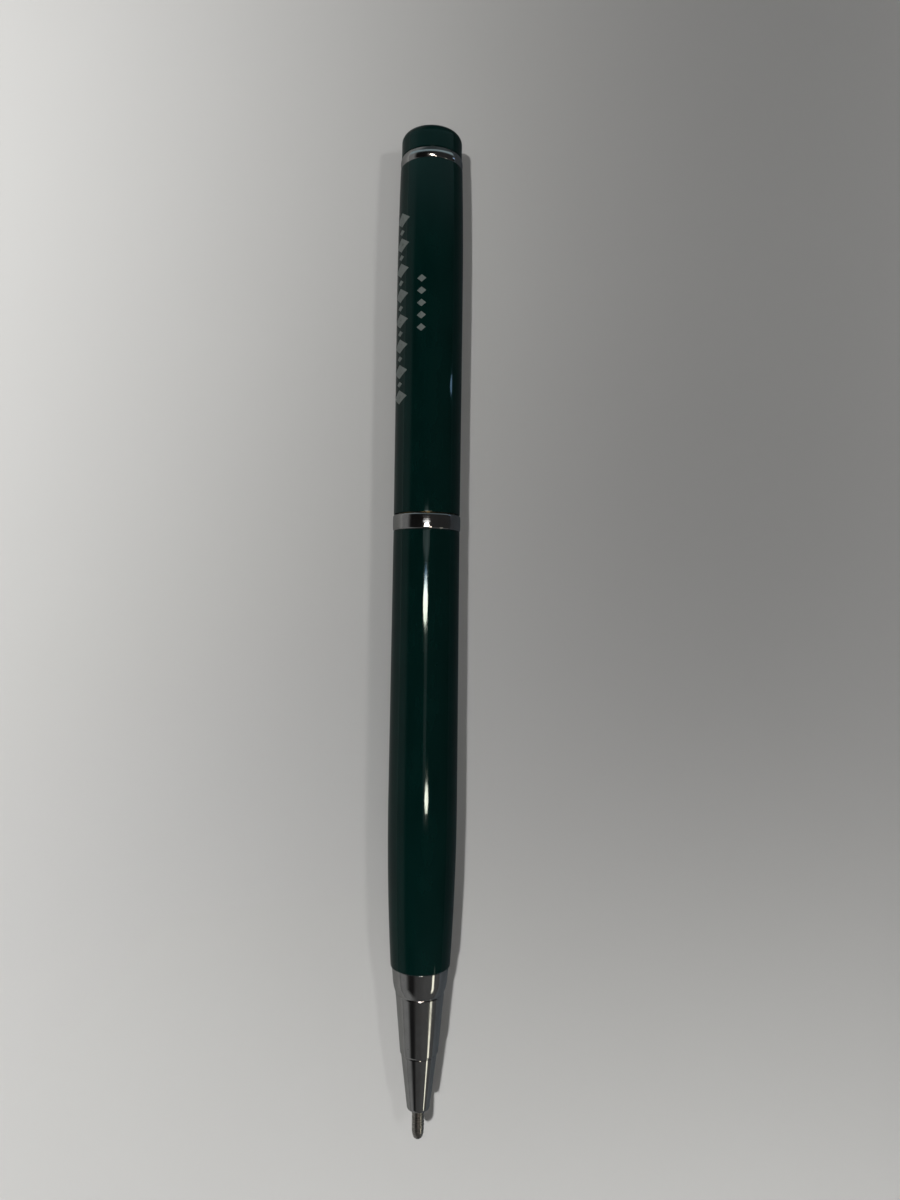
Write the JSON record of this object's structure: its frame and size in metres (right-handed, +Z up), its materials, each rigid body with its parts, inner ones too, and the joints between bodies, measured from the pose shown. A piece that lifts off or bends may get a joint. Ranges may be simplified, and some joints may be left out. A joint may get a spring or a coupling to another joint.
{
  "type": "twist-action ballpoint pen",
  "caption": "Slim round twist-action ballpoint pen: lacquered barrels, chrome rings and a stepped chrome nose. Turning the upper barrel draws the refill into the nose.",
  "frame": {"origin": "under the middle of the pen's length, on the surface that the pen lies on", "axes": "+X along the pen from the writing tip towards the cap, +Y across it, +Z up; the pen's axis is 4.62 mm above the origin"},
  "size_m": [0.135, 0.0092, 0.0092],
  "materials": {
    "green_lacquer": "high gloss",
    "chrome": "polished",
    "silver_print": "satin print",
    "brass": "turned",
    "nickel_silver": "fine turned",
    "steel": "ground",
    "carbide": "polished",
    "nylon": "matte",
    "ink": "wet"
  },
  "bodies": {
    "lower": {"lower_barrel": "green_lacquer", "nose_cone": "chrome", "nose_thread_bush": "brass", "centre_ring": "chrome", "barrel_connector": "brass", "mechanism_case": "brass", "retaining_collar": "brass"},
    "upper": {"upper_barrel": "green_lacquer", "top_bush": "brass", "cap_stud": "steel", "top_ring": "chrome", "end_cap": "green_lacquer", "friction_liner": "nylon", "drive_head": "brass", "cam_sleeve": "brass", "friction_washer": "nylon"},
    "refill": {"refill_carrier": "brass", "drive_pin_top": "steel", "drive_pin_bottom": "steel", "refill_tube": "nickel_silver", "refill_tail": "nickel_silver", "refill_tip": "nickel_silver", "ink_column": "ink"},
    "ball": {"writing_ball": "carbide"}
  },
  "joints": [
    {"name": "twist", "type": "hinge", "parent": "lower", "child": "upper", "pos_m": [0.0156, 0, 0.00462], "axis": [1, 0, 0], "range_deg": [0, 180]},
    {"name": "refill_slide", "type": "slide", "parent": "lower", "child": "refill", "axis": [1, 0, 0], "range_m": [0, 0.0055]},
    {"name": "ball_roll", "type": "hinge", "parent": "refill", "child": "ball", "pos_m": [-0.067, 0, 0.00462], "axis": [0, 1, 0], "continuous": true}
  ],
  "couplings": [
    {"joint": "twist", "follows": "refill_slide", "rad_per_m": 571.2}
  ]
}
